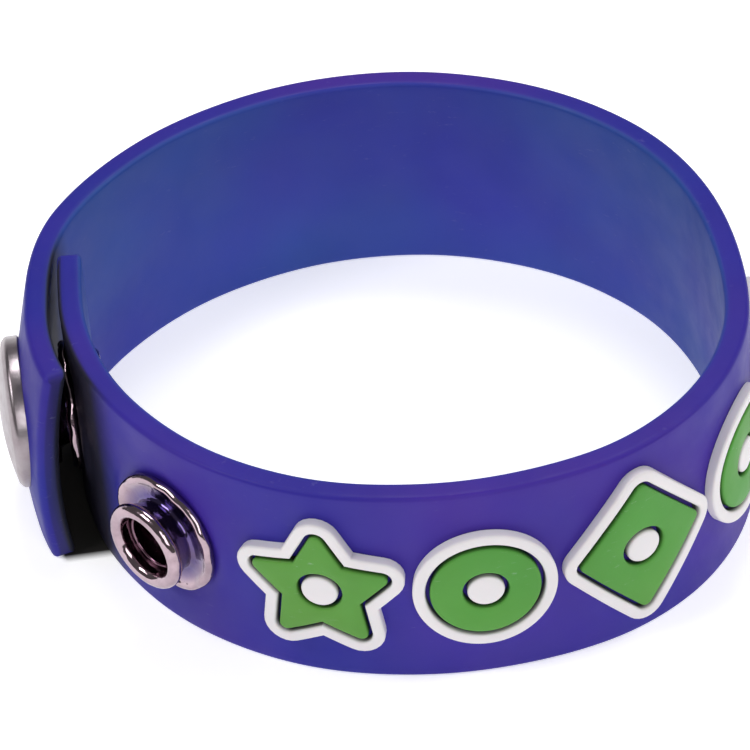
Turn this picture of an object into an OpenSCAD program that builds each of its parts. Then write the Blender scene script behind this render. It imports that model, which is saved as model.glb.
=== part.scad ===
// Snap bracelet: a flat moulded strap bent into a loop that stands on its edge.
// +Z is up along the strap's width, the front faces -Y, and the origin is the
// middle of the whole part's footprint, at the height of the strap's lower edge.

/* [Strap] */
// Width of the strap, which is the height of the loop
strap_w = 20; // [16:0.5:22]
// Thickness of the strap
strap_t = 2.1; // [1.8:0.1:2.4]
// Rounding of the strap's long edges
edge_round = 0.4; // [0.2:0.05:0.6]

/* [Snap] */
// Diameter of the domed cap
cap_d = 13.2; // [12.6:0.1:13.6]
// Height of the cap above the flap
cap_h = 1.9; // [1.6:0.1:2.4]
// Diameter of a stud's flange, which lies on the strap
flange_d = 11.8; // [11:0.1:12.2]
// Diameter of a stud's rolled lip
lip_d = 8.2; // [7.8:0.1:8.2]
// Diameter of the hole in a stud
stud_hole_d = 5.6; // [5.4:0.1:5.8]
// Height of a stud from under its flange to the top of its lip
stud_h = 3.4; // [3.2:0.1:3.5]
// Diameter of the plain disc on the inside of the loop
disc_d = 9.2; // [8:0.1:10]
// Distance from the flap's end to the middle of the closed snap
flap_reach = 8.5; // [7.8:0.1:9]
// Distance between the two studs along the strap
stud_pitch = 18.8; // [17:0.1:20]

/* [Motifs] */
// Number of raised motifs in the row
motif_count = 9; // [5:1:9]
// Distance from one motif to the next along the strap
motif_pitch = 13.2; // [13.2:0.1:13.8]
// Height of the motifs above the strap
relief_h = 0.9; // [0.6:0.1:1.2]
// Width of the white outline
outline_w = 1.05; // [0.8:0.05:1.1]
// Width of the groove between a motif and its outline
groove_w = 0.35; // [0.25:0.05:0.4]
// Outer radius of a star's points
star_r = 6.7; // [5.6:0.1:6.7]
// Outer radius of a ring motif
ring_r = 4.6; // [4:0.1:4.6]
// Half the height of a lozenge
lozenge_r = 7; // [6:0.1:7]

/* [Hidden] */
// Clear gap between pieces that seat on each other
fit_gap = 0.03;
// Margin by which a cutting solid runs past the faces it cuts
past = 1;
// Depth to which metal flanges press into the soft strap
seat_depth = 0.35;
// Depth to which the cap and the inner discs press into it
shallow_seat = 0.2;
// Thickness of pressed sheet metal in flanges and discs
sheet_t = 0.45;
// Wall of the tubes that are drawn from the sheet
tube_wall = 0.35;
// Width and height of the socket's collar, which hangs between the two layers
collar_w = 0.7;
collar_h = 1.3;
// Clearance round the lip inside the socket
lip_gap = 0.15;
// Depth of the hollow under the cap's dome
cap_hollow = 0.7;
// Rounding of the cap's rim, a flange's rim and the tube's rolled end
rim_round = 0.45;
// Height of the cap's dome above its rim
dome_rise = 1;
// Space between the open stud's flange and the first outline
row_gap = 2.3;
// Rounding of a motif's corners
corner_round = 0.6;
// Radius of the hollow corners of a star, as a share of its points' radius
star_waist = 0.52;
// Width of a lozenge, as a share of its height
lozenge_width = 0.85;
// Radius of the hole in a motif's middle, which holds a white dot
eye_r = 1.9;
// Depth below the middle of the face from which a motif is raised
raise_from = 3;

// The loop's centre line is a chain of tangent arcs, clockwise seen from above.
// It starts at the flap's outer end and ends inside the flap.
RADIUS = 0;
TURN = 1;
LOOP = [
  [26, 48],     // flap
  [31, 101],    // back
  [28, 38],     // back right
  [43, 18],     // right side
  [21.5, 66],   // front right
  [35, 30],     // front
  [29.5, 77.8], // front left and inner layer
  [120, 3.2]    // inner layer's end, held nearly straight by the flap
];
// Row of the loop in which the closed stud sits
SNAP_ROW = len(LOOP) - 2;
// Turn of the strap between two corners of its plan, in degrees
STATION_TURN = 3;
// Direction of the strap at the flap's end, and the end's place before centring
FLAP_HEADING = 111;
FLAP_START = [0, 0];

$fn = 64;
// Fineness of rounded corners in flat outlines
corner_fn = 24;

// A pose is [x, y, heading] on the centre line
function right_of(h) = [sin(h), -cos(h)];
function centre_of(pose, r) = [pose[0], pose[1]] + r * right_of(pose[2]);
function turned(pose, r, a) =
  let (c = centre_of(pose, r), h = pose[2] - a)
  [c[0] - r * right_of(h)[0], c[1] - r * right_of(h)[1], h];
function pose_before(row) =
  row == 0 ? [FLAP_START[0], FLAP_START[1], FLAP_HEADING]
           : turned(pose_before(row - 1), LOOP[row - 1][RADIUS], LOOP[row - 1][TURN]);
function arc_length(row) = LOOP[row][RADIUS] * LOOP[row][TURN] * PI / 180;
// Pose at the distance s along the centre line from the flap's end
function pose_at(s, row = 0) =
  s <= arc_length(row) || row == len(LOOP) - 1
    ? turned(pose_before(row), LOOP[row][RADIUS], s / LOOP[row][RADIUS] * 180 / PI)
    : pose_at(s - arc_length(row), row + 1);
// A point of the plan at that distance and at a level outwards from the centre line
function plan_point(s, level) =
  let (p = pose_at(s)) [p[0], p[1]] - level * right_of(p[2]);
function loop_length(row = 0) = row == len(LOOP) ? 0 : arc_length(row) + loop_length(row + 1);

// Levels are counted outwards from the middle of the strap's thickness
face = strap_t / 2;
mid_w = strap_w / 2;
last = len(LOOP) - 1;

// The closed snap's axis lies midway between the directions of the two layers
flap_pose = pose_at(flap_reach);
inner_s = loop_length() - flap_reach;
inner_pose = pose_at(inner_s);
snap_heading = (flap_pose[2] + inner_pose[2] + 360) / 2;
snap_out = -right_of(snap_heading);
// Distance along that axis from the flap's middle to the inner layer's middle
snap_row_r = LOOP[SNAP_ROW][RADIUS];
to_centre = [flap_pose[0], flap_pose[1]] - centre_of(pose_before(SNAP_ROW), snap_row_r);
along = to_centre * snap_out;
inner_drop = along - sqrt(along * along - to_centre * to_centre + snap_row_r * snap_row_r);
open_s = inner_s - stud_pitch;

// Distances along the loop at which the plan has corners, a few degrees apart
function row_start_s(row) = row == 0 ? 0 : row_start_s(row - 1) + arc_length(row - 1);
stations = [
  for (row = [0:last])
    let (steps = ceil(LOOP[row][TURN] / STATION_TURN))
      for (k = [0 : steps - (row == last ? 0 : 1)])
        row_start_s(row) + arc_length(row) * k / steps
];

// The whole part's footprint, for the origin in its middle
line = [for (s = [0:0.5:loop_length()]) pose_at(s)];
x_high = max([for (p = line) p[0]]) + face + relief_h;
y_high = max([for (p = line) p[1]]) + face + relief_h;
y_low = min([for (p = line) p[1]]) - face - relief_h;
cap_level = face - shallow_seat + fit_gap;
x_low = flap_pose[0] + snap_out[0] * (cap_level + cap_h);
footprint_mid = [(x_low + x_high) / 2, (y_low + y_high) / 2, 0];

// Sizes of the snap's turned pieces
cap_r = cap_d / 2;
flange_r = flange_d / 2;
lip_r = lip_d / 2;
stud_hole_r = stud_hole_d / 2;
lip_round = (lip_r - stud_hole_r) / 2;
tube_r = stud_hole_r - 0.1;
hole_r = tube_r + fit_gap;
socket_in_r = lip_r + lip_gap;
neck_r = socket_in_r + tube_wall;
socket_r = flange_r;
disc_r = disc_d / 2;

// The row of motifs starts beside the open stud's flange
row_start = open_s - flange_r - row_gap;
function motif_s(i) = row_start - (i - 0.5) * motif_pitch;
// Order of the motif shapes round the strap
SHAPES = ["star", "ring", "lozenge", "ring"];
function shape_of(i) = SHAPES[(i - 1) % len(SHAPES)];

MOTIFS = [for (i = [1:motif_count]) str("motif_", i)];
OUTLINES = [for (i = [1:motif_count]) str("outline_", i)];

// Puts children at a pose of the loop: X along the strap to the right as seen
// from outside, Y up and Z outwards from the middle of the thickness
module at_pose(pose, level = 0) {
  translate([pose[0], pose[1], mid_w] - footprint_mid)
    rotate([90, 0, pose[2] - 180])
      translate([0, 0, level])
        children();
}

module at_snap(level = 0) {
  at_pose([flap_pose[0], flap_pose[1], snap_heading], level) children();
}

// The strap's plan, thinner by an inset on both faces
module strap_plan(inset) {
  outer = [for (s = stations) plan_point(s, face - inset)];
  inner = [for (s = stations) plan_point(s, inset - face)];
  translate([-footprint_mid[0], -footprint_mid[1]])
    polygon(concat(outer, [for (k = [len(inner) - 1 : -1 : 0]) inner[k]]));
}

// The strap without holes: nested slabs, whose long edges step in like a rounding
module strap() {
  step_in = edge_round * (1 - sqrt(0.5));
  for (inset = [0, step_in, edge_round]) {
    from = inset == 0 ? edge_round : inset == step_in ? step_in : 0;
    translate([0, 0, from]) linear_extrude(strap_w - 2 * from) strap_plan(inset);
  }
}

// Cuts in the strap for a stud and its inner disc
module stud_cuts() {
  translate([0, 0, face - seat_depth]) cylinder(r = flange_r + fit_gap, h = past);
  translate([0, 0, shallow_seat - face - past]) cylinder(r = disc_r + fit_gap, h = past);
  translate([0, 0, -face - past]) cylinder(r = hole_r, h = strap_t + 2 * past);
}

module band() {
  color([0.28, 0.24, 0.6])
    difference() {
      union() {
        strap();
        // The cap presses the curved flap flat
        at_snap() cylinder(r = cap_r, h = face - shallow_seat);
      }
      at_snap() {
        translate([0, 0, face - shallow_seat]) cylinder(r = cap_r + fit_gap, h = past);
        translate([0, 0, -face - past]) cylinder(r = socket_r + fit_gap, h = past + seat_depth);
        translate([0, 0, -face - past]) cylinder(r = neck_r + fit_gap, h = strap_t + 2 * past);
      }
      at_snap(-inner_drop) stud_cuts();
      at_pose(pose_at(open_s)) stud_cuts();
    }
}

module snap_cap() {
  dome_r = (cap_r * cap_r + dome_rise * dome_rise) / (2 * dome_rise);
  color([0.75, 0.73, 0.74])
    at_snap(cap_level)
      rotate_extrude()
        difference() {
          union() {
            intersection() {
              translate([0, cap_h - dome_r]) circle(r = dome_r, $fn = 180);
              square([cap_r - rim_round, cap_h]);
            }
            translate([cap_r - rim_round, rim_round]) circle(r = rim_round);
          }
          square([socket_in_r, cap_hollow]);
        }
}

module snap_socket() {
  neck_h = strap_t - seat_depth - shallow_seat;
  color([0.7, 0.68, 0.7])
    at_snap(seat_depth - face - sheet_t - fit_gap)
      difference() {
        union() {
          cylinder(r = socket_r, h = sheet_t);
          cylinder(r = neck_r, h = sheet_t + neck_h);
          translate([0, 0, sheet_t - collar_h]) cylinder(r = socket_in_r + collar_w, h = collar_h);
        }
        translate([0, 0, -collar_h - past])
          cylinder(r = socket_in_r, h = collar_h + neck_h + 2 * past);
      }
}

// A stud: a flange with a raised rim, a neck and a rolled lip round the hole
module stud() {
  color([0.74, 0.7, 0.72])
    rotate_extrude()
      union() {
        translate([stud_hole_r, 0]) square([flange_r - rim_round - stud_hole_r, sheet_t]);
        translate([flange_r - rim_round, rim_round]) circle(r = rim_round);
        translate([stud_hole_r, 0]) square([tube_wall, stud_h - lip_round]);
        translate([stud_hole_r + lip_round, stud_h - lip_round]) circle(r = lip_round);
      }
}

// The plain disc inside the loop, with its tube up through the strap and the stud
module eyelet() {
  tube_h = strap_t - seat_depth - shallow_seat + stud_h - 2 * lip_round;
  color([0.6, 0.58, 0.6])
    difference() {
      union() {
        translate([0, 0, -sheet_t]) cylinder(r = disc_r, h = sheet_t);
        translate([0, 0, -sheet_t]) cylinder(r = tube_r, h = sheet_t + tube_h);
      }
      cylinder(r = tube_r - tube_wall, h = tube_h + past);
    }
}

module closed_stud() {
  at_snap(face - seat_depth + fit_gap - inner_drop) stud();
}

module closed_eyelet() {
  at_snap(shallow_seat - face - fit_gap - inner_drop) eyelet();
}

module open_stud() {
  at_pose(pose_at(open_s), face - seat_depth + fit_gap) stud();
}

module open_eyelet() {
  at_pose(pose_at(open_s), shallow_seat - face - fit_gap) eyelet();
}

// Flat outlines of the three motifs, each grown by the same width all round
module motif_shape(name, grow) {
  if (name == "ring") {
    circle(r = ring_r + grow);
  } else {
    offset(r = grow + corner_round, $fn = corner_fn)
      offset(delta = -corner_round)
        if (name == "star")
          polygon([for (k = [0:9]) star_r * (k % 2 == 0 ? 1 : star_waist) * [sin(36 * k), cos(36 * k)]]);
        else
          scale([lozenge_width, 1]) circle(r = lozenge_r, $fn = 4);
  }
}

// The layer on the strap's outer face in which one motif's relief lies
module relief_layer(i) {
  steps = [-motif_pitch / 2 - 2 : 1 : motif_pitch / 2 + 2];
  inner = [for (d = steps) plan_point(motif_s(i) + d, face + fit_gap)];
  outer = [for (d = steps) plan_point(motif_s(i) + d, face + fit_gap + relief_h)];
  translate(-footprint_mid)
    linear_extrude(strap_w)
      polygon(concat(inner, [for (k = [len(outer) - 1 : -1 : 0]) outer[k]]));
}

// Raises a flat outline on the strap's outer face at one motif's place
module raised(i) {
  intersection() {
    at_pose(pose_at(motif_s(i)), face - raise_from)
      linear_extrude(raise_from + relief_h + past) children();
    relief_layer(i);
  }
}

module motif(i) {
  color([0.34, 0.64, 0.27])
    raised(i)
      difference() {
        motif_shape(shape_of(i), 0);
        circle(r = eye_r);
      }
}

module outline(i) {
  color([0.93, 0.9, 0.92])
    raised(i) {
      difference() {
        motif_shape(shape_of(i), groove_w + outline_w);
        motif_shape(shape_of(i), groove_w);
      }
      circle(r = eye_r - groove_w);
    }
}

band();
snap_cap();
snap_socket();
closed_stud();
closed_eyelet();
open_stud();
open_eyelet();
for (i = [1:motif_count]) {
  outline(i);
  motif(i);
}
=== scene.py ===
"""The looks of a moulded snap bracelet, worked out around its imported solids.

The strap, the raised motifs and the metal snap pieces are surfaces computed with
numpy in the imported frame, in metres. +Z is up and the loop stands on its edge.
"""

import math

import bpy
import numpy as np
from bpy.props import FloatProperty, FloatVectorProperty, IntProperty, PointerProperty
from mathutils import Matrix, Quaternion, Vector


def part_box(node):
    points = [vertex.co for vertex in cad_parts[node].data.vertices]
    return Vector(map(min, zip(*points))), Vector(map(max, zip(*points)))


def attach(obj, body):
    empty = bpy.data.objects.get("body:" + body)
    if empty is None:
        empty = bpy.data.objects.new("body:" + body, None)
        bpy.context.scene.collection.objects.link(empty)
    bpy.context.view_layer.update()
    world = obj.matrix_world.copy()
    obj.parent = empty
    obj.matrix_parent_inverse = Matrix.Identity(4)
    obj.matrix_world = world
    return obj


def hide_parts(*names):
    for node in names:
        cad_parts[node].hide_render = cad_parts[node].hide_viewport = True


bl_info = {
    "name": "Snap Bracelet",
    "version": (1, 0, 0),
    "blender": (4, 5, 0),
    "location": "View3D > Sidebar > Bracelet",
    "description": "Builds a moulded strap bracelet with a press snap and raised motifs",
    "category": "Add Mesh",
}

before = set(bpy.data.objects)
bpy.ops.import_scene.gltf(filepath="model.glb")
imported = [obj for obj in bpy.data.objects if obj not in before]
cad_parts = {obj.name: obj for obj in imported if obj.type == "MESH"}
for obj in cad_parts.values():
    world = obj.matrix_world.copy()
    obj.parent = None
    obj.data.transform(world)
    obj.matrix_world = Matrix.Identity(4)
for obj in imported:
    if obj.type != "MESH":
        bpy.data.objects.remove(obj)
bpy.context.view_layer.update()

MM = 0.001
BAND_LOW, BAND_HIGH = (np.array(corner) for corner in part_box("band"))
BAND_MIDDLE = (BAND_LOW[:2] + BAND_HIGH[:2]) / 2
STRAP_WIDTH = float(BAND_HIGH[2] - BAND_LOW[2])
STRAP_THICKNESS = 2.1 * MM
ROOT = "root"

# The strap's centre line as a chain of tangent arcs, clockwise seen from above:
# radius in metres and turn in degrees, from the flap's end to the hidden inner end
RADIUS, TURN = 0, 1
LOOP = np.array([
    [0.026, 48],     # flap
    [0.031, 101],    # back
    [0.028, 38],     # back right
    [0.043, 18],     # right side
    [0.0215, 66],    # front right
    [0.035, 30],     # front
    [0.0295, 77.8],  # front left and inner layer
    [0.120, 3.2],    # inner layer's end, held nearly straight by the flap
])
SNAP_ROW = len(LOOP) - 2
FLAP_HEADING = math.radians(111)

SHAPES = ("star", "ring", "lozenge", "ring")
MOTIF_COUNT = sum(name.startswith("motif_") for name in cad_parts)

# How far a piece stands off the strap, and the radius at which a disc's middle closes
CLEARANCE = 0.03 * MM
POLE = 0.02 * MM

# How far the socket's bore and neck reach past a stud's lip, and an eyelet's tube stays
# within the stud's hole
SOCKET_BORE = 0.15 * MM
SOCKET_NECK = 0.5 * MM
TUBE_PLAY = 0.1 * MM

# The gap between the layers: radius of its middle plane, the depth that parts the flap's
# faces from the inner layer's, and how far from the plane both layers lie at most
GAP_RADIUS = 27 * MM
GAP_SPLIT = -0.65 * MM
GAP_DEPTH = 5 * MM

# Points of the strap's section on its width, its thickness and each corner, the smallest
# radius of a corner, and the finer of its two waves as a share of the broad one
WIDE_POINTS, THIN_POINTS, CORNER_POINTS = 42, 5, 6
TIGHT_CORNER = 0.06 * MM
FINE_WAVE = 0.6

# How far the tops of a motif and of a dot are domed
MOTIF_DOME, DOT_DOME = 0.05 * MM, 0.04 * MM

# Angles past which an edge is shaded as sharp
STRAP_SHARP = math.radians(55)
PIECE_SHARP = math.radians(40)

# Fixed colours: painted shade between the layers on the strap, painted shadow on the floor
# there, painted shade at a groove's foot, of a scuff, and of the floor's paper and its fibre
GAP_PAINTED_SHADE = (0.016, 0.015, 0.013, 1)
FLOOR_PAINTED_SHADOW = (0.026, 0.024, 0.022, 1)
GROOVE_PAINTED_SHADE = (0.006, 0.012, 0.008, 1)
SCUFF_PALE = (0.62, 0.6, 0.72, 1)
PAPER_PALE = (0.93, 0.93, 0.93, 1)
PAPER_FIBRE = (0.88, 0.88, 0.88, 1)

# Largest share of the painted shade between the layers, of the painted shade at a groove's
# foot and of the painted violet reflection of the strap on a stud's neck and in its hollow
GAP_STRENGTH, GROOVE_STRENGTH, NECK_REFLECTION_STRENGTH = 0.93, 0.92, 0.88


# Settings


def length(name, description, default, **limits):
    """A property that holds a length in metres."""
    return FloatProperty(
        name=name, description=description, default=default, unit="LENGTH", **limits)


def colour(name, description, *default):
    """A property that holds a colour, its default given as red, green and blue."""
    return FloatVectorProperty(
        name=name, description=description, default=default, subtype="COLOR", size=3, min=0, max=1)


class StrapSizes(bpy.types.PropertyGroup):
    """Sizes of the moulded strap."""

    thickness: length("Thickness", "Thickness of the strap", STRAP_THICKNESS, min=1 * MM)
    edge_round: length("Edge rounding", "Radius of the strap's long edges", 0.4 * MM, min=0.1 * MM)
    end_round: length(
        "End rounding", "Radius of the edges of the strap's two ends", 0.7 * MM, min=0.05 * MM)
    station_step: length(
        "Station step", "Distance between two rings of vertices along the strap", 0.45 * MM,
        min=0.2 * MM)
    flap_bow: length("Flap bow", "How far the flap's middle stands out past its edges", 1.1 * MM)
    flap_rise: length(
        "Flap rise", "How far the bow's middle stands out of the flat flap", 0.55 * MM)
    flap_lean: length("Flap lean", "How far the flap's upper edge leans in", 0.70 * MM)
    bend_start: length(
        "Bend start", "Distance from the flap's end up to which it is fully bent", 10 * MM)
    bend_end: length("Bend end", "Distance from the flap's end at which the bend is gone", 24 * MM)
    # The gap's shade is painted into the strap's colour; these set how far it reaches
    gap_shade: length(
        "Gap shade", "How far past the flap's end the gap's dark shade goes", 4.0 * MM)
    gap_fade: length("Gap fade", "Length over which the gap's dark shade fades away", 3.4 * MM)
    waviness: length(
        "Waviness", "Height of the soft unevenness of the moulded faces", 0.035 * MM, min=0)


class SnapSizes(bpy.types.PropertyGroup):
    """Sizes of the press snap's metal pieces."""

    flap_reach: length("Flap reach", "From the flap's end to the closed snap's middle", 8.5 * MM)
    stud_pitch: length("Stud pitch", "Distance between the two studs along the strap", 18.8 * MM)
    cap_radius: length("Cap radius", "Radius of the domed cap", 6.6 * MM)
    cap_height: length("Cap height", "Height of the cap above its seat", 1.9 * MM)
    flange_radius: length("Flange radius", "Radius of a stud's flange", 5.65 * MM)
    lip_radius: length("Lip radius", "Radius of a stud's rolled lip", 4.1 * MM)
    hole_radius: length("Stud hole radius", "Radius of the hole in a stud", 2.8 * MM)
    stud_height: length("Stud height", "From under a stud's flange to the top of its lip", 3.4 * MM)
    disc_radius: length("Disc radius", "Radius of the plain disc inside the loop", 4.6 * MM)
    disc_thickness: length(
        "Disc thickness", "Thickness of that disc with its rolled edge", 1.0 * MM)
    seat_depth: length("Seat depth", "Depth to which a flange presses into the strap", 0.35 * MM)
    shallow_seat: length(
        "Shallow seat", "Depth to which the cap and the inner discs press in", 0.2 * MM)
    seat_blend: length("Seat blend", "Width over which the strap rises round a seat", 1.3 * MM)
    cap_sink: length("Cap sink", "How far the closed snap draws the bowed flap in", 0.26 * MM)
    cap_core: length("Cap core", "Radius within which the strap is flat under the cap", 3.6 * MM)
    cap_blend: length("Cap blend", "Width over which the strap curves away under the cap", 3.4 * MM)
    cap_skirt: length("Cap skirt", "Depth of the cap's rim below its seat", 0.5 * MM)
    collar_width: length(
        "Collar width", "Width of the socket's collar between the layers", 0.7 * MM)
    collar_height: length(
        "Collar height", "Height of the socket's collar with its flange", 1.3 * MM)
    sheet: length("Sheet", "Thickness of the pressed sheet metal", 0.45 * MM)
    sides: IntProperty(
        name="Sides", description="Steps round a turned metal piece", default=120, min=24)


class MotifSizes(bpy.types.PropertyGroup):
    """Sizes of the raised motifs and their outlines."""

    pitch: length("Pitch", "Distance from one motif to the next", 13.2 * MM)
    row_gap: length(
        "Row gap", "Space between the open stud's flange and the first outline", 2.55 * MM)
    relief: length("Relief", "Height of the motifs above the strap", 0.9 * MM)
    outline_width: length("Outline width", "Width of the white outline", 1.05 * MM)
    groove: length("Groove", "Width of the groove between a motif and its outline", 0.35 * MM)
    star_radius: length("Star radius", "Radius of a star before its points are rounded", 6.7 * MM)
    star_waist: FloatProperty(
        name="Star waist",
        description="Radius of a star's hollow corners as a share of its points'",
        default=0.52, min=0.3, max=0.8)
    ring_radius: length("Ring radius", "Outer radius of a ring motif", 4.6 * MM)
    lozenge_radius: length("Lozenge radius", "Half the height of a lozenge", 7 * MM)
    lozenge_width: FloatProperty(
        name="Lozenge width", description="Width of a lozenge as a share of its height",
        default=0.85, min=0.5, max=1)
    corner_round: length("Corner rounding", "Radius of a motif's corners", 0.6 * MM)
    eye_radius: length("Eye radius", "Radius of the hole in a motif's middle", 1.9 * MM)
    edge_round: length("Relief edge", "Radius of the upper edges of the relief", 0.22 * MM)


class BraceletColours(bpy.types.PropertyGroup):
    """Base colours of the materials."""

    strap_outside: colour(
        "Strap outside", "Vinyl colour on the outside and the edges", 0.031, 0.016, 0.285)
    # Painted light: the bluer tint that the light gives the loop's inside
    strap_inside_painted_light: colour(
        "Strap inside", "Vinyl colour on the inside of the loop", 0.028, 0.058, 0.335)
    motif_green: colour("Motif green", "Vinyl colour of the motifs", 0.088, 0.295, 0.042)
    outline_white: colour("Outline white", "Vinyl colour of the outlines", 0.78, 0.745, 0.765)
    nickel: colour("Nickel", "Colour of the bright plating", 0.47, 0.355, 0.405)
    # A darker copy of the nickel: painted shade on the cap
    cap_painted_shade_nickel: colour("Cap nickel", "Colour of the cap's plating", 0.345, 0.305, 0.325)
    # Nickel darkened as painted shade in the studs' holes, used for the whole eyelets and for the
    # socket between the layers
    painted_shade_nickel: colour(
        "Bore nickel", "Colour of the dark metal in the studs' holes", 0.20, 0.115, 0.16)
    # Painted violet reflection of the strap on a stud's neck and in the hollow round it
    neck_painted_reflection: colour(
        "Neck shade", "Violet cast of a stud's neck and the hollow round it", 0.060, 0.045, 0.20)
    tarnish: colour(
        "Tarnish", "Colour of the dull plating in hollows and scratches", 0.20, 0.135, 0.16)


class StudioSettings(bpy.types.PropertyGroup):
    """Camera and light of the studio."""

    distance: length("Camera distance", "From the camera to its aim on the floor", 0.4567)
    elevation: FloatProperty(
        name="Camera elevation", description="Angle of the view above the horizon",
        default=math.radians(40.41), subtype="ANGLE")
    roll: FloatProperty(
        name="Camera roll", description="Turn of the camera about its own axis",
        default=math.radians(-5.16), subtype="ANGLE")
    lens: FloatProperty(
        name="Lens", description="Focal length in millimetres on a 36 mm sensor",
        default=244.1, min=10)
    key_power: FloatProperty(
        name="Key light", description="Power of the key light in watts", default=1.7, min=0)
    fill_power: FloatProperty(
        name="Fill light", description="Power of the fill light in watts", default=1.15, min=0)


class BraceletSettings(bpy.types.PropertyGroup):
    """All settings of the bracelet."""

    strap: PointerProperty(type=StrapSizes, name="Strap", description="The strap's sizes")
    snap: PointerProperty(type=SnapSizes, name="Snap", description="The snap's sizes")
    motif: PointerProperty(type=MotifSizes, name="Motifs", description="The motifs' sizes")
    colours: PointerProperty(type=BraceletColours, name="Colours", description="Base colours")
    studio: PointerProperty(type=StudioSettings, name="Studio", description="Camera and light")


def settings():
    """The scene's property groups as one object with named members."""
    return bpy.context.scene.bracelet


# Centre line of the strap


def right_of(heading):
    """Unit vector to the right of a heading, which points to the loop's inside: the
    heading's sine, then its negative cosine."""
    return np.stack([np.sin(heading), -np.cos(heading)], axis=-1)


def left_of(direction):
    """A direction in plan turned a quarter to the left: its negative second number, then
    its first."""
    return np.array([-direction[1], direction[0]])


def smooth(share):
    """Smooth step of shares between 0 and 1: three times the square less twice the cube."""
    return share * share * (3 - 2 * share)


def chain_rows():
    """Start distance, heading and centre of each arc, with the flap's end at the origin,
    and the length of the whole chain."""
    turns = np.radians(LOOP[:, TURN])
    headings = FLAP_HEADING - np.concatenate([[0], np.cumsum(turns)[:-1]])
    lengths = LOOP[:, RADIUS] * turns
    starts = np.concatenate([[0], np.cumsum(lengths)[:-1]])
    radii = LOOP[:, RADIUS, None]
    # Each arc ends where the next begins, on a circle round its own centre
    strides = radii * (right_of(headings) - right_of(headings - turns))
    points = np.concatenate([[[0, 0]], np.cumsum(strides, axis=0)[:-1]])
    return starts, headings, points + radii * right_of(headings), lengths.sum()


ROW_START, ROW_HEADING, ROW_CENTRE, LOOP_LENGTH = chain_rows()


def row_at(s):
    """Row of the arc on which a distance along the strap lies."""
    return np.clip(np.searchsorted(ROW_START, s, side="right") - 1, 0, len(LOOP) - 1)


def heading_at(s):
    """Heading of the centre line, which falls evenly with distance on each arc."""
    row = row_at(s)
    return ROW_HEADING[row] - (s - ROW_START[row]) / LOOP[row, RADIUS]


def raw_plan(s, level):
    """Plan point at a distance and a level, with the flap's end at the origin: the arc's
    centre less its radius and level along the direction to the right of the heading."""
    row = row_at(s)
    reach = LOOP[row, RADIUS] + level
    return ROW_CENTRE[row] - reach[..., None] * right_of(heading_at(s))


def plan_shift():
    """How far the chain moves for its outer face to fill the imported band's box: the box's
    middle less the middle of the face's extremes."""
    outline = raw_plan(np.linspace(0, LOOP_LENGTH, num=4000), STRAP_THICKNESS / 2)
    return BAND_MIDDLE - (outline.min(axis=0) + outline.max(axis=0)) / 2


SHIFT = plan_shift()


def plan_point(s, level=0.0):
    """Plan point at a distance and a level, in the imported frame."""
    return raw_plan(s, level) + SHIFT


def strap_point(s, level, height):
    """Point of the strap's space: distance along it, level outwards and height."""
    s, level, height = np.broadcast_arrays(s, level, height)
    return np.concatenate([plan_point(s, level), height[..., None]], axis=-1)


# Seats of the metal pieces


def flap_lift(s, height):
    """How far the snap bends the flap outwards: a parabola over the strap's width, highest
    in the middle, and a lean that draws the upper edge in, both fading along the strap."""
    strap = settings().strap
    across = 2 * height / STRAP_WIDTH - 1
    share = smooth(np.clip((strap.bend_end - s) / (strap.bend_end - strap.bend_start), 0, 1))
    return share * (strap.flap_rise - strap.flap_bow * across**2 - strap.flap_lean * across)


def snap_places():
    """Where the metal pieces sit on the flap, on the inner layer below it and at the open
    stud: the middle of the strap's thickness in plan, the direction outwards, which the
    first two share, and the distance along the strap."""
    snap = settings().snap
    inner_s = LOOP_LENGTH - snap.flap_reach
    open_s = inner_s - snap.stud_pitch
    flap_heading = heading_at(snap.flap_reach)
    inner_heading = heading_at(inner_s) + 2 * math.pi
    out = -right_of((flap_heading + inner_heading) / 2)
    flap_mid = plan_point(snap.flap_reach)
    # The snap's axis meets the inner layer's centre line where it crosses that arc
    spoke = flap_mid - (ROW_CENTRE[SNAP_ROW] + SHIFT)
    along = spoke @ out
    drop = along - math.sqrt(along**2 - spoke @ spoke + LOOP[SNAP_ROW, RADIUS] ** 2)
    lift = flap_lift(snap.flap_reach, STRAP_WIDTH / 2) - snap.cap_sink
    return {
        "flap": {"mid": flap_mid + lift * out, "out": out, "s": snap.flap_reach},
        "inner": {"mid": flap_mid - drop * out, "out": out, "s": inner_s},
        "open": {"mid": plan_point(open_s), "out": -right_of(heading_at(open_s)), "s": open_s},
    }


def gap_frame():
    """The gap between the layers at the closed snap: its middle in plan, the direction
    towards the flap's end and the direction outwards."""
    places = snap_places()
    out = places["flap"]["out"]
    return (places["flap"]["mid"] + places["inner"]["mid"]) / 2, left_of(out), out


def seated_level(level, s, height, on_side, place, side, depth, radius, blend):
    """Level of a strap face that is pressed flat under a metal disc: within the disc's
    radius it is the seat's plane, and past it the face returns in a smooth step."""
    half = settings().strap.thickness / 2
    local_out = -right_of(heading_at(s))
    centre_line = plan_point(s)
    seat_mid = place["mid"] + side * (half - depth) * place["out"]
    plane = ((seat_mid - centre_line) @ place["out"]) / (local_out @ place["out"])
    across = (centre_line - place["mid"]) @ left_of(place["out"])
    away = np.hypot(across, height - STRAP_WIDTH / 2)
    share = smooth(np.clip((radius + blend - away) / blend, 0, 1))
    near = (np.abs(s - place["s"]) < radius + 3 * blend) & on_side
    return np.where(near, level + share * (plane - level), level)


# Mesh making


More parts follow.
